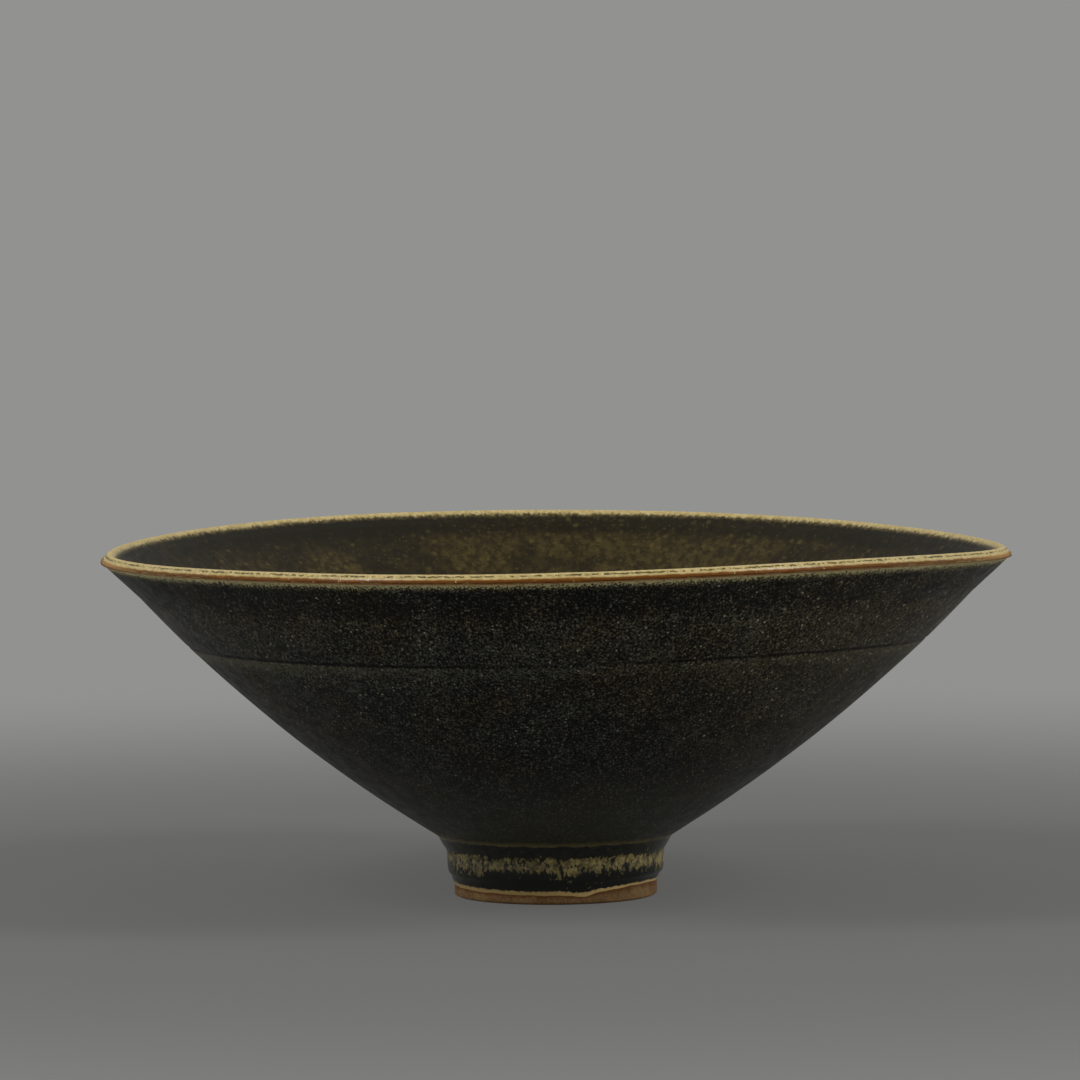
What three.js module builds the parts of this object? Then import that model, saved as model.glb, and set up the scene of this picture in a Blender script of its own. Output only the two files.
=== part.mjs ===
// Conical tea bowl in dark iron glaze, with a cream lip and a small turned foot.
// Millimetres, +Z up. The origin is the centre of the foot's bearing ring, on the surface it stands on.
// The near side of the bowl is at -Y, and angles run from there towards +X.
import * as THREE from "three";

// Overall sizes
const lipRadius = 75.6; // outermost edge of the lip, mean
const bowlHeight = 58.9; // crest of the lip, mean
const footHeight = 10.2; // where the cone wall leaves the foot
const bearingRadius = 16.5; // outer edge of the ring that stands on the table

// Outer wall, an arc from the foot's corner to the start of the lip's flare
const wallFootStep = 3.3; // the corner, out from the bearing ring's edge
const flareReach = 3.6; // start of the flare, in from the lip's outermost edge
const flareDrop = 4.6; // and below the crest
const wallBelly = 2.42; // how far the arc bellies out from its chord

// Inner wall, an arc from the well to the lip
const wellRadius = 11.5;
const wellRise = 0.5; // well floor, above the foot's height
const wellDish = 0.7; // depth of the well, from its edge to its floor
const innerBelly = 2.6;

// Lip, the rounded end of the wall
const lipFace = 1.2; // from the outermost edge in to the crest
const lipDrop = 1.25; // from the crest down to the outermost edge
const rimGlazeOutside = 2.45; // how far the cream coat reaches below the crest outside
const rimGlazeInside = 2.0; // and inside

// Scribed line round the outer wall
const lineHeight = 43.3;
const lineWidth = 0.7;
const lineDepth = 0.15;

// Foot ring and the recess under it
const footSideStep = 1.65; // glazed side of the foot, out from the bearing ring's edge
const marginHeight = 1.95; // lower edge of the foot's glaze, mean
const marginWave = 0.3; // how far that edge wanders up and down
const bearingChamfer = 0.45;
const footRingWidth = 4.4;
const recessDepth = 4.8;
const recessRound = 1.2;
const recessNub = 0.5; // low turned cone in the middle of the recess

// Thickness of the coats
const wallGlaze = 0.45;
const lipGlaze = 0.35;
const footGlaze = 0.4;

// Warp of the lip from the firing, in height and in radius, as waves round the bowl
const lipOffset = 0.5; // the lip's centre stands off the foot's, towards +X
const tiltSideways = 0.12;
const saddleHeight = 0.73;
const saddleTwist = 0.49;
const threeWaveHeight = 0.18;
const threeWaveTwist = 0.1;
const fourWaveHeight = 0.17;
const ovalRadius = 0.08;

// Fineness of the facets
const segments = 52;
const lowerWallSteps = 6;
const upperWallSteps = 2;
const innerWallSteps = 9;

// Places that follow from the sizes above
const wallFootRadius = bearingRadius + wallFootStep;
const footSideRadius = bearingRadius + footSideStep;
const flareRadius = lipRadius - flareReach;
const wellFloorHeight = footHeight + wellRise;
const wellEdgeHeight = wellFloorHeight + wellDish;

// Outline of the lip: shares of lipFace inwards and of lipDrop upwards from the outermost edge
const lipShares = [
  [0.1, -0.34],
  [0, 0],
  [0.12, 0.42],
  [0.42, 0.8],
  [0.72, 0.97],
  [1, 1],
  [1.3, 0.9],
];

// Outline of the foot's glazed side: shares of footSideStep out from the bearing ring, and of footHeight
const footSideShares = [
  [0.55, 0.325],
  [0.82, 0.39],
  [0.95, 0.47],
  [1, 0.57],
  [1, 0.69],
];
// Cove between the foot's side and the wall: shares of the way from side to wall, and of footHeight
const coveShares = [
  [0.1, 0.765],
  [0.34, 0.83],
  [0.54, 0.885],
  [0.74, 0.94],
];

// Well floor, from its edge to the centre: shares of wellRadius and of the well's small depth
const wellShares = [
  [0.86, 0.45],
  [0.6, 0.1],
  [0.25, 0.02],
  [0, 0],
];

const point = (r, z, coat = 0, wave = 0) => ({ r, z, coat, wave });
const mix = (a, b, share) => a + (b - a) * share;

// An arc between two points of the outline that bellies outwards and down from its chord.
class Belly {
  constructor(from, to, rise) {
    const chord = Math.hypot(to.r - from.r, to.z - from.z);
    const radius = (chord * chord) / (8 * rise) + rise / 2;
    const along = { r: (to.r - from.r) / chord, z: (to.z - from.z) / chord };
    this.radius = radius;
    this.centreR = mix(from.r, to.r, 0.5) - along.z * (radius - rise);
    this.centreZ = mix(from.z, to.z, 0.5) + along.r * (radius - rise);
    this.start = this.angleOf(from);
    this.end = this.angleOf(to);
  }

  angleOf(p) {
    return Math.atan2(p.z - this.centreZ, p.r - this.centreR);
  }

  at(share) {
    const angle = mix(this.start, this.end, share);
    return point(this.centreR + this.radius * Math.cos(angle), this.centreZ + this.radius * Math.sin(angle));
  }

  shareAtHeight(z) {
    return (Math.asin((z - this.centreZ) / this.radius) - this.start) / (this.end - this.start);
  }

  run(from, to, steps) {
    return Array.from({ length: steps + 1 }, (_, i) => this.at(mix(from, to, i / steps)));
  }
}

const coated = (points, coat) => points.map((p) => ({ ...p, coat }));

// Foot side, from the glaze margin up to the corner under the wall.
function footSide() {
  const marginRadius = bearingRadius + bearingChamfer;
  const side = footSideShares.map(([out, up]) =>
    point(bearingRadius + footSideStep * out, footHeight * up, footGlaze),
  );
  const cove = coveShares.map(([out, up]) =>
    point(mix(footSideRadius, wallFootRadius, out), footHeight * up, footGlaze),
  );
  side[0].wave = 0.5;
  side[0].coat = footGlaze * 0.7;
  return [point(marginRadius, marginHeight, 0, 1), ...side, ...cove];
}

// Outer wall from the foot's corner to the cream coat, with the scribed line.
const corner = point(wallFootRadius, footHeight);
const flareStart = point(flareRadius, bowlHeight - flareDrop);
const outerArc = new Belly(corner, flareStart, wallBelly);

function outerWall() {
  const lineLow = outerArc.shareAtHeight(lineHeight - lineWidth / 2);
  const lineHigh = outerArc.shareAtHeight(lineHeight + lineWidth / 2);
  const bottom = outerArc.at(mix(lineLow, lineHigh, 0.5));
  bottom.coat = wallGlaze - lineDepth;
  bottom.r -= lineDepth * Math.cos(mix(outerArc.start, outerArc.end, lineLow));
  bottom.z -= lineDepth * Math.sin(mix(outerArc.start, outerArc.end, lineLow));
  return [
    ...coated(outerArc.run(0, lineLow, lowerWallSteps), wallGlaze),
    bottom,
    ...coated(outerArc.run(lineHigh, 1, upperWallSteps), wallGlaze),
  ];
}

// Lip, from the lower edge of the cream coat outside to its lower edge inside.
const lipPoints = lipShares.map(([inwards, up]) =>
  point(lipRadius - lipFace * inwards, bowlHeight - lipDrop * (1 - up), lipGlaze),
);
const innerTop = lipPoints[lipPoints.length - 1];
const innerArc = new Belly(point(wellRadius, wellEdgeHeight), innerTop, innerBelly);

function lip() {
  const flareShare = (flareDrop - rimGlazeOutside) / (flareDrop - lipDrop * (1 - lipShares[0][1]));
  const outside = point(
    mix(flareRadius, lipPoints[0].r, flareShare),
    bowlHeight - rimGlazeOutside,
    mix(wallGlaze, lipGlaze, 0.5),
  );
  const inside = innerArc.at(innerArc.shareAtHeight(bowlHeight - rimGlazeInside));
  inside.coat = mix(wallGlaze, lipGlaze, 0.5);
  return [outside, ...lipPoints, inside];
}

// Inner wall and well, from under the cream coat to the axis.
function inside() {
  const top = innerArc.shareAtHeight(bowlHeight - rimGlazeInside);
  const wall = coated(innerArc.run(top, 0, innerWallSteps).slice(1), wallGlaze);
  const well = wellShares.map(([out, up]) =>
    point(wellRadius * out, mix(wellFloorHeight, wellEdgeHeight, up), wallGlaze),
  );
  return [...wall, ...well];
}

// The glazed surface as one outline, and the clay surface under it.
const footPart = footSide();
const wallPart = outerWall();
const lipPart = lip();
const surface = [...footPart, ...wallPart, ...lipPart, ...inside()];

// The clay lies under each point of the surface by the thickness of the coat there.
function underCoat(outline) {
  return outline.map((p, i) => {
    if (p.coat === 0) return p;
    if (p.r === 0) return { ...p, z: p.z - p.coat };
    const before = outline[Math.max(i - 1, 0)];
    const after = outline[Math.min(i + 1, outline.length - 1)];
    const length = Math.hypot(after.r - before.r, after.z - before.z);
    const outR = (after.z - before.z) / length;
    const outZ = (before.r - after.r) / length;
    return { ...p, r: p.r - outR * p.coat, z: p.z - outZ * p.coat };
  });
}
const clay = underCoat(surface);

// Underside, from the axis out to the foot's bare outer edge.
function underside() {
  const ringInside = bearingRadius - footRingWidth;
  return [
    point(0, recessDepth - recessNub),
    point(ringInside * 0.35, recessDepth),
    point(ringInside - recessRound, recessDepth),
    point(ringInside - recessRound * 0.3, recessDepth - recessRound * 0.3),
    point(ringInside, recessDepth - recessRound),
    point(ringInside, bearingChamfer),
    point(ringInside + bearingChamfer, 0),
    point(bearingRadius, 0),
    point(bearingRadius + bearingChamfer, bearingChamfer),
  ];
}

// Where a point of the outline lies at an angle round the bowl.
function place(p, angle) {
  const share = Math.max(0, (p.z - footHeight) / (bowlHeight - footHeight));
  const lift =
    tiltSideways * Math.sin(angle) +
    saddleTwist * Math.sin(2 * angle) +
    saddleHeight * Math.cos(2 * angle) +
    threeWaveTwist * Math.sin(3 * angle) -
    threeWaveHeight * Math.cos(3 * angle) -
    fourWaveHeight * Math.cos(4 * angle);
  const spread = lipOffset * Math.sin(angle) - ovalRadius * Math.cos(2 * angle);
  const r = p.r === 0 ? 0 : p.r + share * spread;
  const wander = p.wave * marginWave * marginCurve(angle);
  return [r * Math.sin(angle), -r * Math.cos(angle), p.z + share * lift + wander];
}

// The foot's glaze ends in a slow uneven wave, highest on the right of the near side.
function marginCurve(angle) {
  const slow = 0.95 * Math.sin(angle) + 0.45 * Math.sin(2 * angle) - 0.85 * Math.cos(2 * angle);
  return slow - 0.25 * Math.cos(3 * angle) - 0.2 * Math.cos(4 * angle) - 0.22 * Math.sin(5 * angle);
}

// A closed outline turned round the axis, following the warp. Two pieces that share a stretch of outline
// split each facet along the same diagonal, so their faces meet exactly.
function turned(outline) {
  const positions = [];
  const faces = [];
  const rings = outline.map((p) => {
    const first = positions.length / 3;
    const count = p.r === 0 ? 1 : segments;
    for (let i = 0; i < count; i++) positions.push(...place(p, (2 * Math.PI * i) / segments));
    return (i) => first + (i % count);
  });
  outline.forEach((p, j) => {
    const next = (j + 1) % outline.length;
    const q = outline[next];
    if (p.r === 0 && q.r === 0) return;
    for (let i = 0; i < segments; i++) {
      const [a, b] = [rings[j](i), rings[j](i + 1)];
      const [c, d] = [rings[next](i + 1), rings[next](i)];
      if (q.r === 0) faces.push(a, b, c);
      else if (p.r === 0) faces.push(a, c, d);
      else if (p.r + p.z < q.r + q.z) faces.push(a, b, d, b, c, d);
      else faces.push(a, b, c, a, c, d);
    }
  });
  const geometry = new THREE.BufferGeometry();
  geometry.setAttribute("position", new THREE.Float32BufferAttribute(positions, 3));
  geometry.setIndex(faces);
  geometry.computeVertexNormals();
  return geometry;
}

// A coat is the glazed surface between two points of the outline, closed by the clay surface under it.
function coatBetween(first, last) {
  const top = surface.slice(first, last + 1);
  const under = clay.slice(first, last + 1).reverse();
  if (surface[first].coat === 0) under.pop();
  return turned([...top, ...under]);
}

const finish = (color, roughness) => new THREE.MeshStandardMaterial({ color, roughness, metalness: 0 });

function piece(name, geometry, material) {
  const mesh = new THREE.Mesh(geometry, material);
  mesh.name = name;
  return mesh;
}

const cornerIndex = footPart.length;
const outsideJoint = cornerIndex + wallPart.length;
const insideJoint = outsideJoint + lipPart.length - 1;
const wellCentre = surface.length - 1;

const bowl = new THREE.Group();
bowl.name = "tea_bowl";
bowl.add(
  piece("stoneware_body", turned([...underside(), ...clay]), finish(0x8a7152, 0.9)),
  piece("foot_glaze", coatBetween(0, cornerIndex), finish(0x3c3826, 0.4)),
  piece("exterior_glaze", coatBetween(cornerIndex, outsideJoint), finish(0x22211b, 0.38)),
  piece("rim_glaze", coatBetween(outsideJoint, insideJoint), finish(0xb3a077, 0.3)),
  piece("interior_glaze", coatBetween(insideJoint, wellCentre), finish(0x3a3323, 0.4)),
);

export default bowl;
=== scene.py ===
import math

import bpy
import numpy as np
from mathutils import Matrix, Vector


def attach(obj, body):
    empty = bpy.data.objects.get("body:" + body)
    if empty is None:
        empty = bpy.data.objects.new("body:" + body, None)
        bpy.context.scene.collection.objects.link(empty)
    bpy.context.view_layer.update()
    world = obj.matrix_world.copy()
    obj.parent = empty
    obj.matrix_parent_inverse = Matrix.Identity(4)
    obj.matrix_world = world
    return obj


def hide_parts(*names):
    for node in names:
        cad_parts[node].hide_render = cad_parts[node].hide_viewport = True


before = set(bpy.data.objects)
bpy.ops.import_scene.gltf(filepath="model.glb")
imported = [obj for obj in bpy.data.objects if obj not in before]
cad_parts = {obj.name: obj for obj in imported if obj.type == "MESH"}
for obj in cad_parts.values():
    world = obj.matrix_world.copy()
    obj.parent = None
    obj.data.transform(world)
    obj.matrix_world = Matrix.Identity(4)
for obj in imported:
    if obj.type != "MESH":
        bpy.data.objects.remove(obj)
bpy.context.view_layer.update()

# Sizes of the bowl in millimetres, as the solids have them. Meshes are turned into metres when made.
MM = 0.001
LIP_RADIUS = 75.6
BOWL_HEIGHT = 58.9
FOOT_HEIGHT = 10.2
BEARING_RADIUS = 16.5
WALL_FOOT_RADIUS = 19.8
FLARE_REACH = 3.6
FLARE_DROP = 4.6
WALL_BELLY = 2.42
WELL_RADIUS = 11.5
WELL_EDGE_HEIGHT = 11.4
WELL_FLOOR_HEIGHT = 10.7
INNER_BELLY = 2.6
LIP_FACE = 1.2
LIP_DROP = 1.25
RIM_GLAZE_OUTSIDE = 2.45
RIM_GLAZE_INSIDE = 2.0
LINE_HEIGHT = 43.3
FOOT_SIDE_REACH = 1.65
MARGIN_HEIGHT = 1.95
MARGIN_WAVE = 0.3
CHAMFER = 0.45
FOOT_RING_WIDTH = 4.4
RECESS_DEPTH = 4.8
RECESS_ROUND = 1.2
RECESS_NUB = 0.5
WALL_GLAZE = 0.45
LIP_GLAZE = 0.35
FOOT_GLAZE = 0.4

# Where the coats thin towards their edges
THINNING_HEIGHT = 50
JOINT_GLAZE = (WALL_GLAZE + LIP_GLAZE) / 2
FOOT_GLAZE_FADE = 0.9

# Warp of the lip from the firing
LIP_OFFSET = 0.5
TILT_SIDEWAYS = 0.12
SADDLE_HEIGHT = 0.73
SADDLE_TWIST = 0.49
THREE_WAVE_HEIGHT = 0.18
THREE_WAVE_TWIST = 0.1
FOUR_WAVE_HEIGHT = 0.17
OVAL_RADIUS = 0.08

# Outlines as shares. Lip: in from its outermost edge, and up to its crest
LIP_SHARES = [(0.1, -0.34), (0, 0), (0.12, 0.42), (0.42, 0.8), (0.72, 0.97), (1, 1), (1.3, 0.9)]
# Side of the foot: out from the bearing ring, and up to the wall
FOOT_SIDE_SHARES = [(0.55, 0.325), (0.82, 0.39), (0.95, 0.47), (1, 0.57), (1, 0.69)]
# Cove: out from the side of the foot to the wall's corner, and up to the wall
COVE_SHARES = [(0.1, 0.765), (0.34, 0.83), (0.54, 0.885), (0.74, 0.94)]
# Well: out from the axis to the well's edge, and up from its floor to its edge
WELL_SHARES = [(0.86, 0.45), (0.6, 0.1), (0.25, 0.02), (0, 0)]

# Fineness of the meshes: points round the bowl, and the gaps between the rings of each outline
SEGMENTS = 480
FOOT_GAP = 0.16
WALL_GAP = 0.5
RIM_GAP = 0.09
INNER_GAP = 0.6
RECESS_GAP = 0.25
FOOT_EDGE_GAP = 0.2
COAT_BACK_STRIDE = 8
CLAY_STRIDE = 6
SHARP_ANGLE = math.radians(48)

# Points of the arcs, and of each span of the curves, before they are spaced out evenly
ARC_STEPS = 200
FOOT_CURVE = 12
LIP_CURVE = 24
WELL_CURVE = 14
CLAY_CURVE = 8
# How many points of each wall's arc give way to the curve over the lip
LIP_BLEND = 12

# Waves of the glaze's lower edge: number round the foot, share of the height, and turn
QUARTER = math.pi / 2
MARGIN_WAVES = [
    (1, 0.95, 0),
    (2, 0.45, 0),
    (2, -0.85, QUARTER),
    (3, -0.25, QUARTER),
    (4, -0.2, QUARTER),
    (5, -0.22, 0),
    (17, 0.1, 0),
    (29, 0.08, 2),
]
# A dip of that edge at the front: its depth as a share, its angle and its width
MARGIN_DIP = (1.5, 0.26, 0.13)
# How far above and below the edge the foot's outline moves with it
MARGIN_REACH_UP = 2.6
MARGIN_REACH_DOWN = 1.6

# Unevenness of each surface: rows of height, size of the bumps, and seed
WALL_SWELLS = [(0.03, 22, 3), (0.01, 5, 4)]
INNER_SWELLS = [(0.05, 14, 6), (0.016, 3.5, 7)]
RIM_SWELLS = [(0.022, 2.2, 11), (0.03, 7, 12)]
FOOT_SWELLS = [(0.03, 3.4, 15), (0.012, 1.5, 16)]
CLAY_GRIT = [(0.02, 0.9, 21)]
# How far each relief takes to fade out at the joints of its coat
WALL_FADE_LOW = 2
WALL_FADE_HIGH = 1.5
INNER_FADE = 2.5
RIM_FADE = 0.9
FOOT_FADE = 0.8
CLAY_FADE = 0.4
# Turning marks outside, throwing rings inside, and grooves under the foot, above its bearing face
TURNING_DEPTH = 0.008
TURNING_PITCH = 2.6
THROWING_DEPTH = 0.035
THROWING_PITCH = 4.2
GROOVE_DEPTH = 0.03
GROOVE_PITCH = 1.3
GROOVE_LEVEL = 0.3
# The scribed line, the burr below it, and the slow swell and dip of the wall: height, place, width
LINE_RELIEF = [(-0.1, 0, 0.17), (0.02, -0.8, 0.6), (0.03, -0.5, 4), (-0.03, -8, 3.5)]
LINE_RAISE = 0.05
LINE_CLIMB = 0.2
LINE_BEND = 0.1
# Lumps of the pool above the foot's glaze edge: height, place above the edge, and width
POOL_LUMPS = (0.04, 1.5, 0.9)


# Small helpers for outlines, which are arrays of radius and height
def mix(a, b, share):
    return a + (b - a) * share


def fade(distance, reach):
    """0 at no distance, rising to 1 at reach."""
    return np.clip(distance / reach, 0, 1)


def bump_at(value, centre, width):
    return np.exp(-(((value - centre) / width) ** 2))


def belly_arc(start, end, rise, steps):
    """Points on an arc that bellies out and down from the chord between start and end."""
    start, end = np.array(start, float), np.array(end, float)
    chord = np.linalg.norm(end - start)
    radius = chord * chord / (8 * rise) + rise / 2
    along = (end - start) / chord
    centre = (start + end) / 2 + np.array([-along[1], along[0]]) * (radius - rise)
    first, last = (math.atan2(*(p - centre)[::-1]) for p in (start, end))
    angle = np.linspace(first, last, steps + 1)
    return centre + radius * np.stack([np.cos(angle), np.sin(angle)], 1)


def smooth_through(points, per_span):
    """A Catmull-Rom curve through the points, per_span steps between each two."""
    points = np.array(points, float)
    ends = np.vstack([2 * points[0] - points[1], points, 2 * points[-1] - points[-2]])
    curve = []
    for a, b, c, d in zip(ends, ends[1:], ends[2:], ends[3:]):
        slope = c - a
        square = 2 * a - 5 * b + 4 * c - d
        cube = 3 * b - a - 3 * c + d
        for t in np.arange(per_span) / per_span:
            curve.append(0.5 * (2 * b + slope * t + square * t**2 + cube * t**3))
    return np.vstack([curve, points[-1]])


def evenly(curve, gap):
    """The same curve with points about one gap apart."""
    run = np.concatenate([[0], np.cumsum(np.linalg.norm(np.diff(curve, axis=0), axis=1))])
    places = np.linspace(0, run[-1], max(2, int(round(run[-1] / gap)) + 1))
    return np.stack([np.interp(places, run, curve[:, i]) for i in (0, 1)], 1)


def thinned(count, stride):
    """Every stride-th row number below count, and the last."""
    return np.unique(np.concatenate([np.arange(0, count, stride), [count - 1]]))


def row_at(outline, height):
    """The row of an outline that is nearest to a height."""
    return int(np.argmin(np.abs(outline[:, 1] - height)))


def normals_of(outline):
    """Unit normals of an outline, to the right of its run, which is out of the bowl."""
    along = np.gradient(outline, axis=0)
    along /= np.linalg.norm(along, axis=1)[:, None]
    return np.stack([along[:, 1], -along[:, 0]], 1)


# The glazed surface, from the foot's margin up the outside, over the lip and down to the well
def foot_side():
    side = BEARING_RADIUS + FOOT_SIDE_REACH
    points = [(BEARING_RADIUS + CHAMFER, MARGIN_HEIGHT)]
    points += [(mix(BEARING_RADIUS, side, out), FOOT_HEIGHT * up) for out, up in FOOT_SIDE_SHARES]
    points += [(mix(side, WALL_FOOT_RADIUS, out), FOOT_HEIGHT * up) for out, up in COVE_SHARES]
    points += [(WALL_FOOT_RADIUS, FOOT_HEIGHT)]
    return evenly(smooth_through(points, FOOT_CURVE), FOOT_GAP)


def lip_points():
    lowest = BOWL_HEIGHT - LIP_DROP
    return [(LIP_RADIUS - LIP_FACE * into, mix(lowest, BOWL_HEIGHT, up)) for into, up in LIP_SHARES]


def lip_and_walls():
    """Outer wall, lip and inner wall as dense outlines, cut where the coats meet."""
    corner = (WALL_FOOT_RADIUS, FOOT_HEIGHT)
    flare = (LIP_RADIUS - FLARE_REACH, BOWL_HEIGHT - FLARE_DROP)
    wall = belly_arc(corner, flare, WALL_BELLY, ARC_STEPS)
    tip = lip_points()
    well_edge = (WELL_RADIUS, WELL_EDGE_HEIGHT)
    inner = belly_arc(well_edge, tip[-1], INNER_BELLY, ARC_STEPS)[::-1]
    turn = [wall[-LIP_BLEND], *tip, inner[LIP_BLEND // 2], inner[LIP_BLEND]]
    over = smooth_through(turn, LIP_CURVE)
    whole = np.vstack([wall[:-LIP_BLEND], over, inner[LIP_BLEND + 1 :]])
    crest = int(np.argmax(whole[:, 1]))
    low_out = row_at(whole[: crest + 1], BOWL_HEIGHT - RIM_GLAZE_OUTSIDE)
    low_in = crest + row_at(whole[crest:], BOWL_HEIGHT - RIM_GLAZE_INSIDE)
    well = [
        (WELL_RADIUS * out, mix(WELL_FLOOR_HEIGHT, WELL_EDGE_HEIGHT, up)) for out, up in WELL_SHARES
    ]
    lower = smooth_through([whole[-1], *well], WELL_CURVE)[1:]
    return (
        evenly(whole[: low_out + 1], WALL_GAP),
        evenly(whole[low_out : low_in + 1], RIM_GAP),
        evenly(np.vstack([whole[low_in:], lower]), INNER_GAP),
    )


# Bare clay, from the axis under the foot out to the edge of its glaze
def bare_clay():
    """Outlines of the recess, of the bearing face and of the bare edge of the foot."""
    ring_inside = BEARING_RADIUS - FOOT_RING_WIDTH
    nub_height = RECESS_DEPTH - RECESS_NUB
    under = [
        (0, nub_height),
        (ring_inside * 0.12, RECESS_DEPTH - RECESS_NUB * 0.8),
        (ring_inside * 0.35, RECESS_DEPTH),
        (ring_inside - RECESS_ROUND, RECESS_DEPTH),
        (ring_inside - RECESS_ROUND * 0.3, RECESS_DEPTH - RECESS_ROUND * 0.3),
        (ring_inside, RECESS_DEPTH - RECESS_ROUND),
        (ring_inside, CHAMFER),
        (ring_inside + CHAMFER * 0.3, CHAMFER * 0.3),
    ]
    bearing = [(ring_inside + CHAMFER, 0), (BEARING_RADIUS, 0)]
    side = [
        (BEARING_RADIUS + CHAMFER * 0.7, CHAMFER * 0.3),
        (BEARING_RADIUS + CHAMFER, CHAMFER),
        (BEARING_RADIUS + CHAMFER, MARGIN_HEIGHT),
    ]
    recess = evenly(smooth_through(under, CLAY_CURVE), RECESS_GAP)
    return recess, bearing, evenly(smooth_through(side, CLAY_CURVE), FOOT_EDGE_GAP)


# Shape round the bowl. Angles run from the front, which is -Y, towards +X
def around(radius, height, angle):
    return np.stack([radius * np.sin(angle), -radius * np.cos(angle), height], -1)


def warp(radius, height, angle):
    """Radius and height after the warp of the firing, which grows from the foot to the lip."""
    share = np.maximum(0, (height - FOOT_HEIGHT) / (BOWL_HEIGHT - FOOT_HEIGHT))
    lift = (
        TILT_SIDEWAYS * np.sin(angle)
        + SADDLE_TWIST * np.sin(2 * angle)
        + SADDLE_HEIGHT * np.cos(2 * angle)
        + THREE_WAVE_TWIST * np.sin(3 * angle)
        - THREE_WAVE_HEIGHT * np.cos(3 * angle)
        - FOUR_WAVE_HEIGHT * np.cos(4 * angle)
    )
    spread = LIP_OFFSET * np.sin(angle) - OVAL_RADIUS * np.cos(2 * angle)
    return radius + share * spread * np.minimum(1, radius), height + share * lift


def margin(angle):
    """Rise of the foot's glaze edge round the bowl: low at the front and higher to its right."""
    waving = sum(share * np.sin(count * angle + turn) for count, share, turn in MARGIN_WAVES)
    depth, place, width = MARGIN_DIP
    return MARGIN_WAVE * (waving - depth * bump_at(angle, place, width))


def waves(points, size, seed, count=14):
    """Smooth uneven relief between about -1 and 1, with bumps about one size across."""
    rng = np.random.default_rng(seed)
    total = np.zeros(points.shape[:-1])
    for _ in range(count):
        direction = rng.normal(size=3)
        direction *= 2 * math.pi / (size * rng.uniform(1.4, 3)) / np.linalg.norm(direction)
        total += np.cos(points @ direction + rng.uniform(0, 2 * math.pi))
    return total / math.sqrt(count)


def swells(spots, rows):
    """Uneven relief summed from rows of height, size and seed."""
    return sum(height * waves(spots, size, seed) for height, size, seed in rows)


def line_at(angle):
    """Height of the scribed line round the bowl, which climbs a little towards +X."""
    return LINE_HEIGHT + LINE_RAISE + LINE_CLIMB * np.sin(angle) - LINE_BEND * np.cos(2 * angle)


# Relief of each surface, in millimetres out from its outline
def wall_relief(spots, level, angle):
    """Turning marks, the scribed line and the slow unevenness of the outer wall."""
    marks = TURNING_DEPTH * np.sin(2 * math.pi * level / TURNING_PITCH)
    relief = swells(spots, WALL_SWELLS) + marks * (0.6 + 0.4 * waves(spots, 30, 5))
    for height, place, width in LINE_RELIEF:
        relief += height * bump_at(level - line_at(angle), place, width)
    top = BOWL_HEIGHT - RIM_GLAZE_OUTSIDE
    return relief * fade(level - FOOT_HEIGHT, WALL_FADE_LOW) * fade(top - level, WALL_FADE_HIGH)


def inner_relief(spots, level, angle):
    """Throwing rings that climb in a slow spiral, and the glaze's own unevenness."""
    spiral = THROWING_DEPTH * np.sin(2 * math.pi * level / THROWING_PITCH - angle)
    relief = spiral * (0.7 + 0.3 * waves(spots, 40, 8)) + swells(spots, INNER_SWELLS)
    return relief * fade(BOWL_HEIGHT - RIM_GLAZE_INSIDE - level, INNER_FADE)


def rim_relief(spots, level, angle):
    """Small swellings and sags of the cream coat, weakest at the crest."""
    below = BOWL_HEIGHT - level
    from_crest = np.clip(0.35 + 0.4 * below, 0, 1)
    return swells(spots, RIM_SWELLS) * from_crest * fade(RIM_GLAZE_INSIDE - below, RIM_FADE)


def foot_relief(spots, level, angle):
    """Lumps where the glaze pooled above its edge."""
    height, place, width = POOL_LUMPS
    lumps = height * bump_at(level, MARGIN_HEIGHT + place, width) * waves(spots, 5, 17)
    at_joints = fade(level - MARGIN_HEIGHT, FOOT_FADE) * fade(FOOT_HEIGHT - level, FOOT_FADE)
    return (swells(spots, FOOT_SWELLS) + lumps) * at_joints


def clay_relief(spots, level, angle):
    """Fine turning grooves and grit of the bare clay, under the foot and round its edge."""
    radius = np.hypot(spots[..., 0], spots[..., 1])
    grooves = GROOVE_DEPTH * np.sin(2 * math.pi * radius / GROOVE_PITCH + angle)
    grit = swells(spots, CLAY_GRIT) * fade(level, CLAY_FADE)
    return (grooves * (level > GROOVE_LEVEL) + grit) * fade(WELL_EDGE_HEIGHT / 2 - level, CLAY_FADE)


# Meshes
def rings_of(outline, relief, raised):
    """The rings that an outline turns into, in metres, with each point's level and angle."""
    angle = np.arange(SEGMENTS) * 2 * math.pi / SEGMENTS
    turn = np.broadcast_to(angle, (len(outline), SEGMENTS))
    radius = np.repeat(outline[:, :1], SEGMENTS, 1)
    level = np.repeat(outline[:, 1:], SEGMENTS, 1)
    above = np.clip(1 - (level - MARGIN_HEIGHT) / MARGIN_REACH_UP, 0, 1)
    below = np.clip(1 + (level - MARGIN_HEIGHT) / MARGIN_REACH_DOWN, 0, 1)
    height = level + above * below * (radius > BEARING_RADIUS) * margin(turn)
    normal = normals_of(np.vstack([outline, outline[:1]]))[:-1]
    push = relief(around(radius, height, turn), level, turn) * raised[:, None]
    radius = np.where(outline[:, :1] == 0, 0, radius + push * normal[:, :1])
    height = height + push * normal[:, 1:]
    return around(*warp(radius, height, turn), turn) * MM, level, turn


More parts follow.
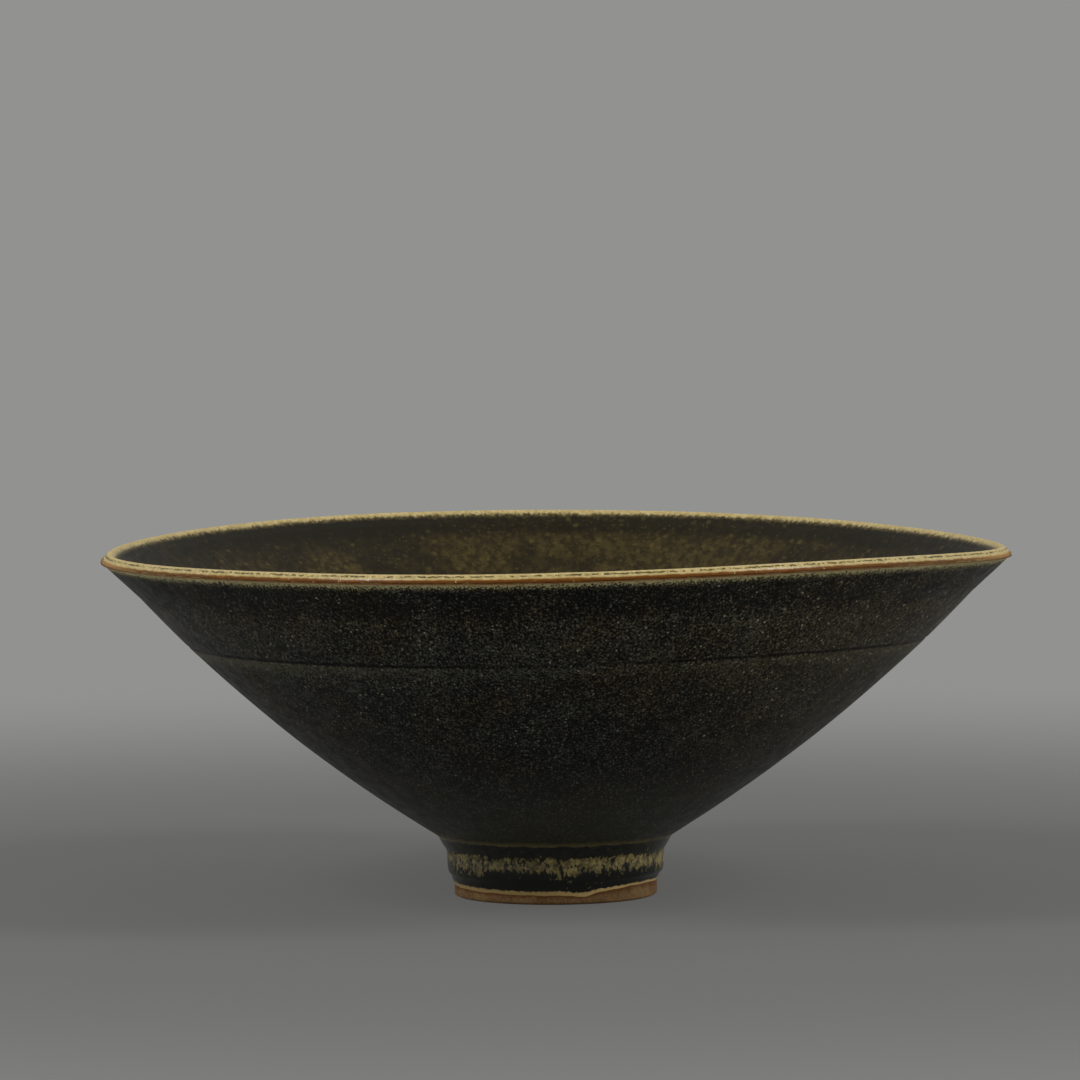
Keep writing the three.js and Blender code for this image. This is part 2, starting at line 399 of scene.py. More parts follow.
def faces_of(on_axis):
    """Faces between each ring and the next, closed round. A ring on the axis is a single point."""
    first = np.concatenate([[0], np.cumsum(np.where(on_axis, 1, SEGMENTS))])
    side = np.arange(SEGMENTS)
    next_side = (side + 1) % SEGMENTS
    faces = []
    for j in range(len(on_axis)):
        k = (j + 1) % len(on_axis)
        if on_axis[j] and on_axis[k]:
            continue
        if on_axis[k]:
            corners = [first[j] + side, first[j] + next_side, np.full(SEGMENTS, first[k])]
        elif on_axis[j]:
            corners = [np.full(SEGMENTS, first[j]), first[k] + next_side, first[k] + side]
        else:
            low, high = first[j], first[k]
            corners = [low + side, low + next_side, high + next_side, high + side]
        faces += np.stack(corners, 1).tolist()
    return faces


def make_piece(name, outline, relief, raised, inside, material, replaced):
    """Turns a closed outline into one mesh. Relief raises only some of its rings."""
    places, level, turn = rings_of(outline, relief, raised)
    on_axis = outline[:, 0] == 0

    def by_point(rings):
        return np.concatenate([ring[:1] if alone else ring for ring, alone in zip(rings, on_axis)])

    mesh = bpy.data.meshes.new(name)
    mesh.from_pydata(by_point(places).tolist(), [], faces_of(on_axis))
    values = {
        "lip": np.where(inside[:, None], level - BOWL_HEIGHT, BOWL_HEIGHT - level),
        "level": level,
        "edge": level - MARGIN_HEIGHT,
        "line": level - line_at(turn),
    }
    for key, value in values.items():
        layer = mesh.attributes.new(key, "FLOAT", "POINT")
        layer.data.foreach_set("value", by_point(value).astype(np.float32))
    mesh.shade_smooth()
    mesh.set_sharp_from_angle(angle=SHARP_ANGLE)
    mesh.materials.append(material)
    piece = bpy.data.objects.new(name, mesh)
    bpy.context.scene.collection.objects.link(piece)
    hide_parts(replaced)
    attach(piece, "root")


def coat(name, surface, thickness, relief, material, replaced, inside=False):
    """A coat of glaze: its surface, closed underneath by the clay's surface."""
    under = surface - normals_of(surface) * thickness[:, None]
    under[surface[:, 0] == 0] = surface[surface[:, 0] == 0] - [0, WALL_GLAZE]
    back = thinned(len(under), COAT_BACK_STRIDE)[::-1]
    if thickness[0] == 0:
        back = back[:-1]
    outline = np.vstack([surface, under[back]])
    raised = np.concatenate([np.ones(len(surface)), np.zeros(len(back))])
    inside = np.broadcast_to(inside, len(surface))
    inside = np.concatenate([inside, inside[back]])
    make_piece(name, outline, relief, raised, inside, material, replaced)


# Material building
def srgb(red, green, blue):
    """A colour written as it looks on a screen, 0 to 255, as the linear colour that shaders use."""
    shares = [c / 255 for c in (red, green, blue)]
    return [s / 12.92 if s <= 0.04045 else ((s + 0.055) / 1.055) ** 2.4 for s in shares] + [1]


class Graph:
    """The nodes of a material or world, and short calls that each add one and return its output."""

    def __init__(self, owner):
        owner.use_nodes = True
        self.owner = owner
        self.tree = owner.node_tree
        self.tree.nodes.clear()
        self.coords = None

    def node(self, kind, inputs, **settings):
        node = self.tree.nodes.new("ShaderNode" + kind)
        for key, value in settings.items():
            setattr(node, key, value)
        for key, value in inputs.items():
            if isinstance(value, bpy.types.NodeSocket):
                self.tree.links.new(value, node.inputs[key])
            elif value is not None:
                node.inputs[key].default_value = value
        return node

    def math(self, operation, a, b=None, clamp=False):
        return self.node("Math", {0: a, 1: b}, operation=operation, use_clamp=clamp).outputs[0]

    def add(self, a, b):
        return self.math("ADD", a, b)

    def times(self, a, b):
        return self.math("MULTIPLY", a, b)

    def absolute(self, value):
        return self.math("ABSOLUTE", value)

    def vector(self, operation, a, b=None, scale=None):
        inputs = {0: a, 1: b, "Scale": scale}
        return self.node("VectorMath", inputs, operation=operation).outputs[0]

    def millimetres(self):
        """Places on the object in millimetres."""
        if self.coords is None:
            own = self.node("TexCoord", {}).outputs["Object"]
            self.coords = self.vector("SCALE", own, scale=1 / MM)
        return self.coords

    def stretched(self, up):
        """Places in millimetres with heights times up, which below 1 draws a pattern out in height."""
        return self.vector("MULTIPLY", self.millimetres(), (1, 1, up))

    def across(self):
        """Millimetres from the axis towards +X."""
        return self.node("SeparateXYZ", {0: self.millimetres()}).outputs[0]

    def value(self, name):
        """A value that the mesh carries at each point."""
        return self.node("Attribute", {}, attribute_name=name).outputs["Fac"]

    def share(self, value, low, high):
        """0 at low, 1 at high and straight between them."""
        return self.node("MapRange", {0: value, 1: low, 2: high}).outputs[0]

    def step(self, value, low, high, to_low=0.0, to_high=1.0):
        """A soft step from to_low at low to to_high at high."""
        inputs = {0: value, 1: low, 2: high, 3: to_low, 4: to_high}
        return self.node("MapRange", inputs, interpolation_type="SMOOTHSTEP").outputs[0]

    def noise(self, size, detail=2.0, rough=0.5, where=None, offset=0.0):
        """Soft noise with bumps about one size across, in millimetres."""
        where = self.millimetres() if where is None else where
        if offset:
            where = self.vector("ADD", where, (offset, -offset, offset))
        inputs = {"Vector": where, "Scale": 1 / size, "Detail": detail, "Roughness": rough}
        return self.node("TexNoise", inputs).outputs[0]

    def wander(self, reach, size, detail=2.0, rough=0.5, where=None, offset=0.0, half=0.2):
        """Noise between -reach and reach. A smaller half brings more of it to the ends."""
        noise = self.noise(size, detail, rough, where, offset)
        return self.step(noise, 0.5 - half, 0.5 + half, -reach, reach)

    def cells(self, size, where, jitter=0.5):
        """Distance to the nearest of many scattered points, and random values for each."""
        noise = self.node("TexNoise", {"Vector": where, "Scale": 1 / size, "Detail": 1.0})
        centred = self.vector("SUBTRACT", noise.outputs[1], (0.5, 0.5, 0.5))
        place = self.vector("ADD", where, self.vector("SCALE", centred, scale=size * jitter))
        found = self.node("TexVoronoi", {"Vector": place, "Scale": 1 / size})
        split = self.node("SeparateColor", {0: found.outputs["Color"]})
        return found.outputs["Distance"], split.outputs

    def crystals(self, size, density, radius, flow=1.0):
        """How strongly each place shows one of many scattered crystals, and their random values."""
        distance, random = self.cells(size, self.stretched(flow))
        chosen = self.step(self.math("SUBTRACT", density, random[0]), 0.0, 0.12)
        body = self.step(distance, radius, radius * 0.25)
        strength = self.step(random[1], -0.2, 1.0)
        return self.times(self.times(chosen, body), strength), random

    def blend(self, share, a, b):
        return self.node("Mix", {0: share, 6: a, 7: b}, data_type="RGBA").outputs[2]

    def along(self, value, stops):
        """A value that follows given stops of (place, value)."""
        low, high = stops[0][0], stops[-1][0]
        ramp = self.node("ValToRGB", {0: self.share(value, low, high)})
        points = ramp.color_ramp.elements
        while len(points) < len(stops):
            points.new(0.5)
        for point, (at, amount) in zip(points, stops):
            point.position = (at - low) / (high - low)
            point.color = (amount, amount, amount, 1)
        return ramp.outputs[0]

    def finish(self, colour, roughness, height, depth, specular):
        """The material, with relief of depth millimetres painted on where height says."""
        bump = self.node("Bump", {"Height": height, "Distance": depth * MM, "Strength": 1.0})
        inputs = {
            "Base Color": colour,
            "Roughness": roughness,
            "Normal": bump.outputs[0],
            "Specular IOR Level": specular,
        }
        shader = self.node("BsdfPrincipled", inputs)
        self.node("OutputMaterial", {"Surface": shader.outputs[0]})
        return self.owner


def material_graph(name):
    return Graph(bpy.data.materials.new(name))


# Outer glaze: near black, with grey-green and brown crystals in bands that follow the wall
BLACK = srgb(5, 6, 4)
BROWN_BLACK = srgb(14, 12, 7)
LINE_BLACK = srgb(3, 3, 2)
BANK_OLIVE = srgb(62, 58, 39)
LOW_WALL_GREY = srgb(58, 59, 53)
# Olive of the painted highlight along the corner above the foot
CORNER_HIGHLIGHT_OLIVE = srgb(116, 104, 66)
CRYSTAL_GREY = srgb(146, 146, 130)
CRYSTAL_OLIVE = srgb(146, 132, 88)
CRYSTAL_BROWN = srgb(142, 108, 76)
CRYSTAL_PALE = srgb(206, 202, 178)
# Share of places with a crystal, by level, and what is added by the height above the line
DENSITY_BY_LEVEL = [
    (10.0, 0.6),
    (10.9, 0.6),
    (11.6, 0.5),
    (20.0, 0.55),
    (30.0, 0.6),
    (38.0, 0.66),
    (45.0, 0.8),
    (50.5, 0.82),
    (52.0, 0.42),
    (55.0, 0.36),
    (59.0, 0.45),
]
DENSITY_BY_LINE = [
    (-4.0, 0.0),
    (-2.4, 0.1),
    (-0.9, 0.45),
    (-0.4, 0.45),
    (-0.25, -0.7),
    (0.25, -0.7),
    (0.5, 0.0),
    (4.0, 0.0),
]
# Where the painted highlight lies along the corner above the foot: on the wall just above the corner,
# and on the corner's own edge below it
CORNER_HIGHLIGHT_ABOVE = (10.75, 10.45)
CORNER_HIGHLIGHT_BELOW = (9.8, 10.05)
CORNER_HIGHLIGHT_WANDER = {"reach": 0.15, "size": 1.4, "offset": 47}


def outer_density(g, right):
    drifting = g.add(g.value("level"), g.wander(0.3, 9, 3.0))
    patches = g.wander(0.2, 6, 4.0, 0.6, offset=40)
    bands = g.add(g.along(drifting, DENSITY_BY_LEVEL), patches)
    by_line = g.along(g.value("line"), DENSITY_BY_LINE)
    return g.add(g.add(bands, by_line), g.times(right, 0.2))


def outer_ground(g, warm):
    """The glaze between its crystals: greyer towards the foot, and olive below the line at both sides.
    """
    line = g.value("line")
    ground = g.blend(g.times(warm, 0.4), BLACK, BROWN_BLACK)
    greying = g.step(g.value("level"), 28.0, 11.0)
    ground = g.blend(g.times(greying, 0.9), ground, LOW_WALL_GREY)
    bank = g.times(g.step(line, -3.0, -0.6), g.step(line, -0.15, -0.4))
    left = g.step(g.across(), -4.0, -64.0)
    right = g.step(g.across(), 12.0, 44.0, 0.0, 0.32)
    bank = g.times(bank, g.add(left, right))
    return g.blend(g.times(bank, 0.8), ground, BANK_OLIVE)


def scribed_line(g):
    """How dark the scribed line is: fainter at the front, and broken up by crystals."""
    scribed = g.step(g.absolute(g.value("line")), 0.32, 0.12)
    scribed = g.times(scribed, g.step(g.absolute(g.across()), 4.0, 24.0, 0.45, 0.95))
    return g.times(scribed, g.step(g.noise(2.5, offset=67), 0.35, 0.6, 0.55, 1.0))


def outer_colour(g):
    """Colour and crystal share of the dark outer glaze."""
    level = g.value("level")
    right = g.step(g.across(), 5.0, 45.0)
    density = outer_density(g, right)
    warm = g.step(g.noise(14, 3.0, 0.55, offset=90), 0.42, 0.62)
    warm = g.math("ADD", warm, g.times(right, 0.8), clamp=True)
    dots, dot_random = g.crystals(0.5, density, 0.52, flow=0.5)
    bright, _ = g.crystals(0.9, g.times(density, 0.5), 0.26, flow=0.5)
    hue = g.blend(g.times(warm, 0.6), CRYSTAL_GREY, CRYSTAL_OLIVE)
    hue = g.blend(g.step(dot_random[2], 0.72, 0.84, 0.0, 0.35), hue, CRYSTAL_BROWN)

    grain = g.noise(0.36, 2.0, 0.65, where=g.stretched(0.4), offset=63)
    grain = g.step(g.add(grain, g.times(density, 0.12)), 0.54, 0.76)
    upper = g.step(level, 14.0, 40.0, 0.7, 1.0)
    colour = g.blend(g.times(g.times(grain, upper), 0.25), outer_ground(g, warm), hue)
    shown = g.times(dots, g.step(right, 0.0, 1.0, 0.48, 0.62))
    colour = g.blend(g.times(shown, upper), colour, hue)
    bright_share = g.times(g.step(level, 16.0, 36.0, 0.25, 0.6), g.step(right, 0.0, 1.0, 1.0, 1.6))
    colour = g.blend(g.times(bright, bright_share), colour, CRYSTAL_PALE)

    colour = g.blend(scribed_line(g), colour, LINE_BLACK)
    # A painted highlight in olive along the corner above the foot
    corner_highlight = g.step(g.add(level, g.wander(**CORNER_HIGHLIGHT_WANDER)), *CORNER_HIGHLIGHT_ABOVE)
    return g.blend(g.times(corner_highlight, 0.6), colour, CORNER_HIGHLIGHT_OLIVE), dots


def outer_material():
    g = material_graph("dark_iron_glaze")
    dark, shown = outer_colour(g)
    colour, _ = lip_colour(g, dark)
    height = g.add(g.times(shown, 0.4), g.noise(1.1, 3.0, 0.6, offset=3))
    roughness = g.step(g.noise(2.4, 3.0), 0.3, 0.7, 0.36, 0.48)
    return g.finish(colour, roughness, height, depth=0.02, specular=0.12)


# Lip, from the crest down: cream with a row of dark dashes, a rust line and a pale olive fringe
CREAM = srgb(172, 152, 100)
CREAM_PALE = srgb(192, 174, 124)
CREAM_GREEN = srgb(190, 178, 130)
CREAM_THIN = srgb(82, 72, 45)
FRINGE_OLIVE = srgb(108, 102, 72)
RUST = srgb(108, 64, 13)
RUST_ORANGE = srgb(142, 88, 30)
RUST_DARK = srgb(90, 53, 12)
RUST_SIDE = srgb(99, 62, 2)
RUST_TIP = srgb(158, 116, 60)
DASH = srgb(64, 58, 28)
# Millimetres below the crest at which each band isn't there yet, and at which it is there in full
DASH_TOP = (0.13, 0.22)
DASH_BOTTOM = (0.46, 0.32)
CREAM_FADE = (0.87, 0.56)
RUST_DARK_FADE = (0.95, 1.3)
RUST_FADE = (1.5, 1.2)
GREEN_FADE = (2.2, 1.7)
FRINGE_FADE = (2.66, 1.62)
# Millimetres from the middle where the rust begins to change, and where it has changed in full
LIP_ENDS = (40.0, 72.0)
LIP_TIPS = (66.0, 74.5)


def cream_colour(g, mottle):
    return g.blend(g.step(mottle, 0.38, 0.66), CREAM, CREAM_PALE)


def rust_line(g, below, aside, end):
    """Colour and share of the rust line, with a few pale nicks through it."""
    rust = g.blend(g.step(g.noise(3.0, 3.0, offset=61), 0.5, 0.75), RUST, RUST_ORANGE)
    rust = g.blend(g.step(below, *RUST_DARK_FADE), rust, RUST_DARK)
    rust = g.blend(g.times(end, 0.9), rust, RUST_SIDE)
    rust = g.blend(g.step(aside, *LIP_TIPS, 0.0, 0.9), rust, RUST_TIP)
    nick = g.step(g.noise(0.5, 1.0, where=g.stretched(0.1), offset=33), 0.68, 0.73)
    nick = g.times(nick, g.step(g.noise(6, 1.0, offset=35), 0.5, 0.56))
    share = g.step(g.add(below, g.times(end, 0.08)), *RUST_FADE)
    return rust, g.times(share, g.step(nick, 0.8, 0.2, 0.4, 1.0))


def dash_share(g, below):
    level = g.add(below, g.wander(0.06, 0.8, 1.0, offset=73))
    row = g.times(g.step(level, *DASH_TOP), g.step(level, *DASH_BOTTOM))
    run = g.noise(0.62, 2.0, 0.6, where=g.stretched(0.2), offset=71)
    more = g.step(g.noise(5, 2.0, offset=75), 0.35, 0.65, -0.07, 0.09)
    return g.times(g.times(row, g.step(g.add(run, more), 0.42, 0.53)), 0.9)


def lip_colour(g, dark):
    """The lip's bands over the dark glaze, by how far below the crest a place is, and their mottle."""
    below = g.value("lip")
    aside = g.absolute(g.across())
    ragged = g.add(below, g.wander(0.5, 0.34, 3.0, 0.65, where=g.stretched(0.25)))
    sag = g.add(g.wander(0.15, 4, offset=7), g.step(aside, 8.0, 30.0, 0.0, -0.16))
    green = g.blend(g.step(ragged, *GREEN_FADE), FRINGE_OLIVE, CREAM_GREEN)
    colour = g.blend(g.step(g.add(ragged, sag), *FRINGE_FADE), dark, green)

    below_line = g.add(below, g.wander(0.06, 1.6, 3.0, offset=51))
    end = g.step(aside, *LIP_ENDS)
    rust, rust_share = rust_line(g, below_line, aside, end)
    colour = g.blend(rust_share, colour, rust)
    mottle = g.noise(0.8, 3.0, 0.6, offset=23)
    upper = g.step(g.add(below_line, g.times(end, -0.1)), *CREAM_FADE)
    colour = g.blend(upper, colour, cream_colour(g, mottle))
    return g.blend(dash_share(g, below), colour, DASH), mottle


def rim_material():
    """The rim coat shows the dark glaze through its lower edge outside and the brown one inside."""
    g = material_graph("cream_lip_glaze")
    dark, _ = outer_colour(g)
    outside, mottle = lip_colour(g, dark)
    brown, _ = inner_colour(g)
    depth = g.times(g.value("lip"), -1.0)
    ragged = g.wander(0.22, 0.7, 3.0, 0.65, where=g.stretched(0.35), offset=17, half=0.25)
    fringe = g.add(depth, ragged)
    thin = g.blend(g.step(fringe, 1.2, 0.6), brown, CREAM_THIN)
    inside = g.blend(g.step(fringe, 0.8, 0.25), thin, cream_colour(g, mottle))
    colour = g.blend(g.step(g.value("lip"), -0.05, 0.05), inside, outside)
    height = g.add(g.noise(0.7, 3.0, 0.6, offset=5), g.times(mottle, 0.5))
    roughness = g.step(g.noise(1.2, 2.0), 0.3, 0.7, 0.14, 0.26)
    roughness = g.add(roughness, g.step(depth, 0.3, 0.9, 0.0, 0.3))
    ends = g.times(g.step(g.absolute(g.across()), 52.0, 70.0), g.step(depth, 0.6, 0.1))
    roughness = g.add(roughness, g.times(ends, 0.35))
    return g.finish(colour, roughness, height, depth=0.012, specular=0.16)


# Inner glaze: brown-olive with yellow-brown crystals, darker just below the lip and in the well
INNER_BROWN = srgb(42, 34, 14)
INNER_OLIVE = srgb(64, 54, 25)
INNER_DARK = srgb(23, 19, 7)
INNER_CRYSTAL = srgb(97, 86, 43)
# How dark it is by level
INNER_SHADE = [
    (10.0, 0.5),
    (11.3, 0.55),
    (12.6, 0.1),
    (45.0, 0.05),
    (53.0, 0.1),
    (54.8, 0.35),
    (55.8, 0.85),
    (59.0, 0.85),
]


def inner_colour(g):
    """Colour and crystal share of the inner glaze."""
    # Painted light: lighter, with more crystals, across the middle as seen from the front, and darker
    # to its left and right
    middle = g.step(g.absolute(g.add(g.across(), -8.0)), 36.0, 18.0, -0.09, 0.09)
    cloud = g.add(g.noise(16, 4.0, 0.5, offset=5), middle)
    mottle = g.noise(1.5, 3.0, 0.6, where=g.stretched(0.6), offset=12)
    ground = g.blend(g.step(mottle, 0.4, 0.62), INNER_BROWN, INNER_OLIVE)
    ground = g.blend(g.step(cloud, 0.54, 0.34, 0.0, 0.7), ground, INNER_DARK)
    shade = g.along(g.value("level"), INNER_SHADE)
    ground = g.blend(shade, ground, INNER_DARK)
    density = g.add(g.step(cloud, 0.35, 0.65, 0.4, 0.8), g.times(shade, -0.35))
    fine, _ = g.crystals(0.6, density, 0.6)
    large, _ = g.crystals(1.3, g.times(density, 0.8), 0.55)
    shown = g.math("MAXIMUM", g.times(fine, 0.25), g.times(large, 0.36))
    return g.blend(shown, ground, INNER_CRYSTAL), shown


def inner_material():
    g = material_graph("brown_inner_glaze")
    colour, shown = inner_colour(g)
    height = g.add(g.times(shown, 0.5), g.noise(1.3, 3.0, 0.6, offset=3))
    roughness = g.step(g.noise(2.4, 3.0), 0.3, 0.7, 0.42, 0.56)
    return g.finish(colour, roughness, height, depth=0.025, specular=0.14)


# Foot glaze: black, mottled olive in a band where it ran thin, and cream at its lower edge
# Painted light: these colours are lighter than the foot's glaze is, to make up for the bowl's shade on
# its foot
FOOT_OLIVE = srgb(184, 166, 104)
FOOT_OLIVE_DARK = srgb(72, 64, 37)
FOOT_BLACK = srgb(25, 26, 20)
FOOT_CREAM = srgb(170, 143, 92)
FOOT_CREAM_PALE = srgb(216, 184, 122)
# Levels at which the olive band begins and ends, and the height above the edge where the cream ends
BAND_BOTTOM = (3.8, 6.0)
BAND_TOP = (8.5, 7.4)
CREAM_EDGE_FADE = (0.68, 0.44)


def foot_band(g, level, right):
    """How thin the glaze lies: 1 where the olive shows, in a ragged band."""
    band = g.step(g.add(level, g.wander(0.5, 6, 1.0, offset=18, half=0.15)), *BAND_BOTTOM)
    band = g.times(band, g.step(level, *BAND_TOP))
    blotch = g.noise(0.9, 2.0, 0.6, where=g.stretched(0.6), offset=29)
    bias = g.add(g.times(band, 0.34), g.times(right, 0.04))
    fleck = g.wander(0.09, 0.4, 2.0, 0.6, where=g.stretched(0.6), offset=83)
    return g.step(g.add(g.add(blotch, bias), fleck), 0.7, 0.88)


def foot_material():
    g = material_graph("foot_glaze")
    level = g.value("level")
    right = g.step(g.across(), -9.0, 9.0)
    thin = foot_band(g, level, right)
    grain = g.step(g.noise(0.45, 3.0, 0.6, offset=77), 0.4, 0.6)
    patch = g.step(g.noise(1.7, 2.0, 0.6, offset=43), 0.38, 0.62)
    mottle = g.add(g.times(grain, 0.4), g.times(patch, 0.6))
    olive = g.blend(mottle, FOOT_OLIVE_DARK, FOOT_OLIVE)
    pooled = g.step(g.noise(1.3, 3.0, 0.6, offset=59), 0.45, 0.7, 0.0, 0.35)
    in_cove = g.step(level, 7.3, 8.4)
    black = g.blend(g.times(pooled, in_cove), FOOT_BLACK, FOOT_OLIVE_DARK)
    colour = g.blend(g.times(thin, g.step(right, 0.0, 1.0, 0.6, 1.0)), black, olive)
    # A painted highlight in olive along the corner's own edge, on the foot's side
    corner = g.step(g.add(level, g.wander(**CORNER_HIGHLIGHT_WANDER)), *CORNER_HIGHLIGHT_BELOW)
    colour = g.blend(g.times(corner, 0.65), colour, CORNER_HIGHLIGHT_OLIVE)
    edge = g.add(g.value("edge"), g.wander(0.1, 0.6, offset=9))
    cream = g.blend(right, FOOT_CREAM, FOOT_CREAM_PALE)
    colour = g.blend(g.step(edge, *CREAM_EDGE_FADE), colour, cream)
    height = g.add(g.times(g.times(grain, thin), 0.8), g.noise(0.8, 3.0, 0.6, offset=3))
    roughness = g.step(thin, 0.0, 0.8, 0.24, 0.6)
    return g.finish(colour, roughness, height, depth=0.03, specular=0.4)


# Bare stoneware: sandy tan with dark specks, and a rust halo where the glaze ends
CLAY_TAN = srgb(134, 103, 64)
CLAY_DARK = srgb(99, 73, 43)
CLAY_PALE = srgb(154, 124, 82)
CLAY_RUST = srgb(100, 58, 24)
CLAY_SPECK = srgb(52, 38, 24)


def clay_material():
    g = material_graph("bare_stoneware")
    grain = g.noise(0.35, 4.0, 0.7)
    cloud = g.step(g.noise(5, 3.0, offset=14), 0.4, 0.7)
    colour = g.blend(g.step(grain, 0.35, 0.65), CLAY_DARK, CLAY_TAN)
    colour = g.blend(g.times(cloud, 0.6), colour, CLAY_PALE)
    specks, _ = g.crystals(0.9, 0.3, 0.22)
    colour = g.blend(g.times(specks, 0.8), colour, CLAY_SPECK)
    halo = g.step(g.add(g.value("edge"), g.wander(0.2, 1.2, offset=31)), -0.7, -0.2)
    colour = g.blend(g.times(halo, 0.8), colour, CLAY_RUST)
    height = g.add(grain, g.times(g.noise(0.15), 0.5))
    roughness = g.step(grain, 0.3, 0.7, 0.95, 0.78)
    return g.finish(colour, roughness, height, depth=0.08, specular=0.3)


# The bowl itself
def thinning(heights, end):
    """Thickness of a wall's coat, which thins a little on its way up to the lip's coat."""
    share = (heights - THINNING_HEIGHT) / (end - THINNING_HEIGHT)
    return np.clip(mix(WALL_GLAZE, JOINT_GLAZE, share), JOINT_GLAZE, WALL_GLAZE)


def build_bowl():
    foot = foot_side()
    wall, rim, inside = lip_and_walls()
    foot_depth = FOOT_GLAZE * fade(foot[:, 1] - foot[0, 1], FOOT_GLAZE_FADE)
    wall_depth = thinning(wall[:, 1], wall[-1, 1])
    inner_depth = thinning(inside[:, 1], inside[0, 1])
    from_middle = np.abs(np.linspace(-2, 2, len(rim)))
    rim_depth = mix(LIP_GLAZE, JOINT_GLAZE, np.maximum(from_middle - 1, 0))
    past_crest = np.arange(len(rim)) > int(np.argmax(rim[:, 1]))

    outer, inner = outer_material(), inner_material()
    coat("foot_coat", foot, foot_depth, foot_relief, foot_material(), "foot_glaze")
    coat("outer_coat", wall, wall_depth, wall_relief, outer, "exterior_glaze")
    coat("rim_coat", rim, rim_depth, rim_relief, rim_material(), "rim_glaze", past_crest)
    coat("inner_coat", inside, inner_depth, inner_relief, inner, "interior_glaze", True)

    glazed = np.vstack([foot[1:], wall[1:], rim[1:], inside[1:]])
    depth = np.concatenate([foot_depth[1:], wall_depth[1:], rim_depth[1:], inner_depth[1:]])
    skin = glazed - normals_of(glazed) * depth[:, None]
    skin[-1] = glazed[-1] - [0, WALL_GLAZE]
    hidden = skin[thinned(len(skin), CLAY_STRIDE)]
    recess, bearing, foot_edge = bare_clay()
    outline = np.vstack([recess, bearing, foot_edge, hidden])
    raised = [np.ones(len(recess)), np.zeros(len(bearing)), np.ones(len(foot_edge))]
    raised = np.concatenate([*raised, np.zeros(len(hidden))])
    inner_half = np.arange(len(outline)) > len(outline) - len(hidden) + len(hidden) // 2
    clay = clay_material()
    make_piece(
        "clay_body", outline, clay_relief, raised, inner_half, clay, "stoneware_body"
    )


# Stage: a plain floor that fades out at its edge, the backdrop as the world, and two large soft lamps
FLOOR_RADIUS = 0.9
FLOOR_SIDES = 96
FLOOR_DROP = 0.00005
FLOOR_FADE = (0.12, 0.42)
FLOOR = srgb(124, 124, 122)
# The grey that is mixed evenly into what is seen of the floor, so that the bowl's shadow is softer
FLOOR_SEEN = srgb(103, 103, 101)
FLOOR_EVENNESS = 0.6
BACKDROP = srgb(146, 146, 144)
OVERHEAD = srgb(166, 166, 164)
SIDES = srgb(232, 232, 230)
# How far up, and how far to the side, the world changes from the backdrop's grey
OVERHEAD_SHARE = (0.1, 0.7)
SIDES_SHARE = (0.35, 0.8)
# Lamps: degrees round from the camera's side towards +X, and degrees up
LEFT_LAMP = (-58, 44)
RIGHT_LAMP = (66, 43)
LAMP_DISTANCE = 1.2
LAMP_SIZE = (0.28, 0.4)
LAMP_POWER = 5.4
LAMP_AIM = Vector((0, 0, 0.03))


def build_floor():
    g = material_graph("floor")
    own = g.node("TexCoord", {}).outputs["Object"]
    distance = g.node("VectorMath", {0: own}, operation="LENGTH").outputs["Value"]
    ray = g.node("LightPath", {}).outputs
    seen = g.math("MAXIMUM", ray["Is Camera Ray"], ray["Is Glossy Ray"])
    seen = g.math("MAXIMUM", seen, ray["Is Transmission Ray"])
    lit = g.node("BsdfDiffuse", {"Color": FLOOR}).outputs[0]
    even = g.node("Emission", {"Color": FLOOR_SEEN}).outputs[0]
    surface = g.node("MixShader", {0: g.times(seen, FLOOR_EVENNESS), 1: lit, 2: even}).outputs[0]
    clear = g.node("BsdfTransparent", {}).outputs[0]
    shown = g.node("MixShader", {0: g.step(distance, *FLOOR_FADE), 1: surface, 2: clear})
    g.node("OutputMaterial", {"Surface": shown.outputs[0]})
    turns = [2 * math.pi * i / FLOOR_SIDES for i in range(FLOOR_SIDES)]
    ring = [(FLOOR_RADIUS * math.cos(turn), FLOOR_RADIUS * math.sin(turn), 0) for turn in turns]
    mesh = bpy.data.meshes.new("floor")
    mesh.from_pydata(ring, [], [list(range(FLOOR_SIDES))])
    mesh.materials.append(g.owner)
    floor = bpy.data.objects.new("floor", mesh)
    floor.location.z = -FLOOR_DROP
    bpy.context.scene.collection.objects.link(floor)


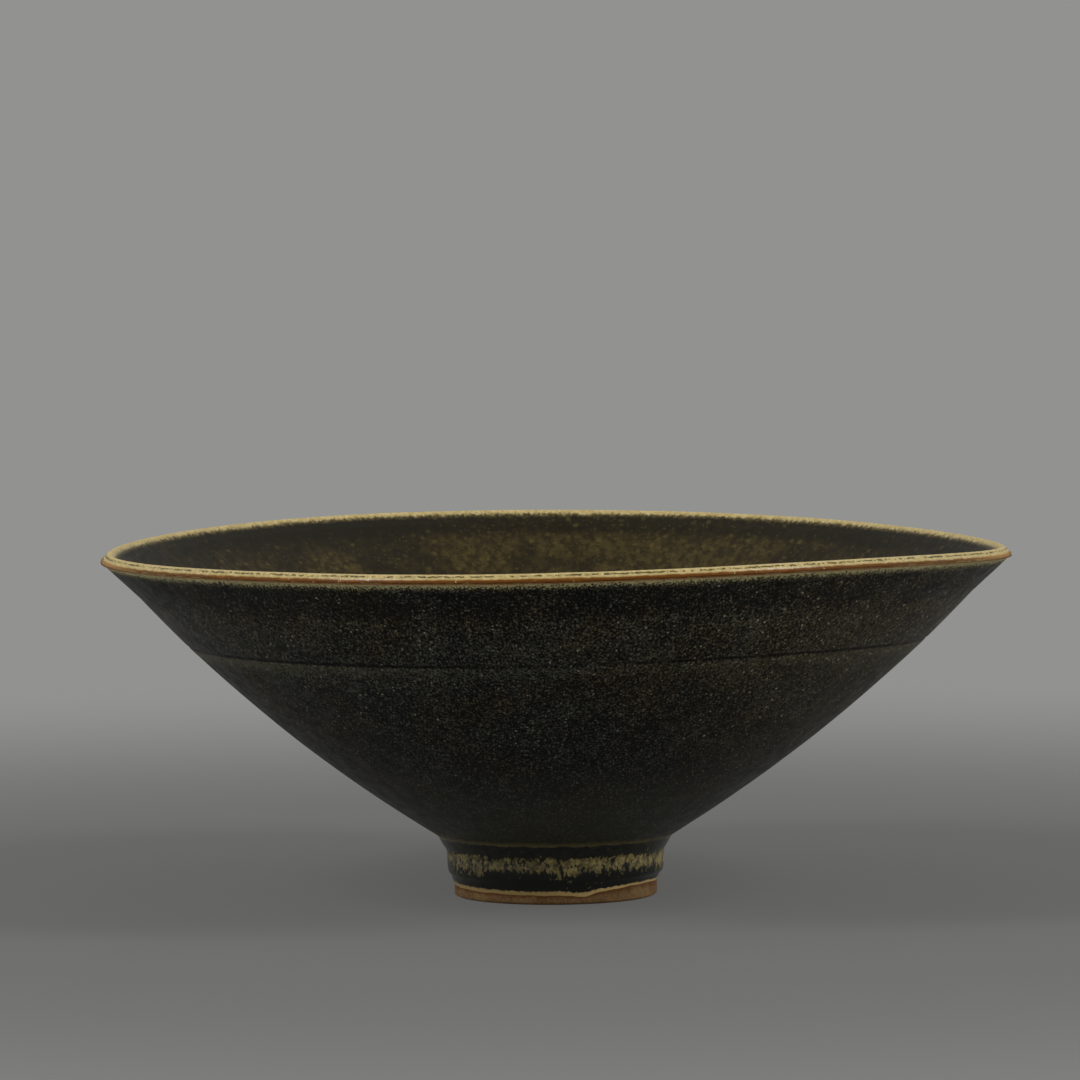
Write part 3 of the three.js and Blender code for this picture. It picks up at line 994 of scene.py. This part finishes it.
def build_world():
    """The backdrop's grey, a little brighter overhead and much brighter to the left and right."""
    world = bpy.data.worlds.new("backdrop")
    g = Graph(world)
    way = g.node("TexCoord", {}).outputs["Generated"]
    split = g.node("SeparateXYZ", {0: way})
    sky = g.blend(g.share(split.outputs["Z"], *OVERHEAD_SHARE), BACKDROP, OVERHEAD)
    sideways = g.share(g.absolute(split.outputs["X"]), *SIDES_SHARE)
    light = g.node("Background", {"Color": g.blend(sideways, sky, SIDES)})
    g.node("OutputWorld", {"Surface": light.outputs[0]})
    bpy.context.scene.world = world


def build_lamp(name, turn, lift):
    """A softbox that looks at the bowl."""
    data = bpy.data.lights.new(name, "AREA")
    data.shape = "RECTANGLE"
    data.size, data.size_y = LAMP_SIZE
    data.energy = LAMP_POWER
    lamp = bpy.data.objects.new(name, data)
    turn, lift = math.radians(turn), math.radians(lift)
    flat = math.cos(lift)
    way = Vector((math.sin(turn) * flat, -math.cos(turn) * flat, math.sin(lift)))
    lamp.location = way * LAMP_DISTANCE + LAMP_AIM
    lamp.rotation_euler = way.to_track_quat("Z", "Y").to_euler()
    bpy.context.scene.collection.objects.link(lamp)


# Camera, where the photograph was taken from
CAMERA_DISTANCE = 1.3
CAMERA_HEIGHT = 0.149
CAMERA_LENS = 259.7
CAMERA_SENSOR = 36
CAMERA_HEADING = math.radians(-0.096)
CAMERA_PITCH = math.radians(3.94)
CAMERA_ROLL = math.radians(-0.43)


def build_camera():
    data = bpy.data.cameras.new("camera")
    data.lens = CAMERA_LENS
    data.sensor_width = CAMERA_SENSOR
    camera = bpy.data.objects.new("camera", data)
    level = Vector((math.sin(CAMERA_HEADING), math.cos(CAMERA_HEADING), 0))
    forward = level * math.cos(CAMERA_PITCH) - Vector((0, 0, math.sin(CAMERA_PITCH)))
    right = forward.cross(Vector((0, 0, 1))).normalized()
    up = right.cross(forward)
    across = right * math.cos(CAMERA_ROLL) + up * math.sin(CAMERA_ROLL)
    upward = up * math.cos(CAMERA_ROLL) - right * math.sin(CAMERA_ROLL)
    turned = Matrix((across, upward, -forward)).transposed().to_4x4()
    camera.matrix_world = Matrix.Translation((0, -CAMERA_DISTANCE, CAMERA_HEIGHT)) @ turned
    bpy.context.scene.collection.objects.link(camera)
    bpy.context.scene.camera = camera


bpy.context.scene.view_settings.view_transform = "Standard"
build_camera()
build_world()
build_floor()
build_lamp("left_softbox", *LEFT_LAMP)
build_lamp("right_softbox", *RIGHT_LAMP)
build_bowl()
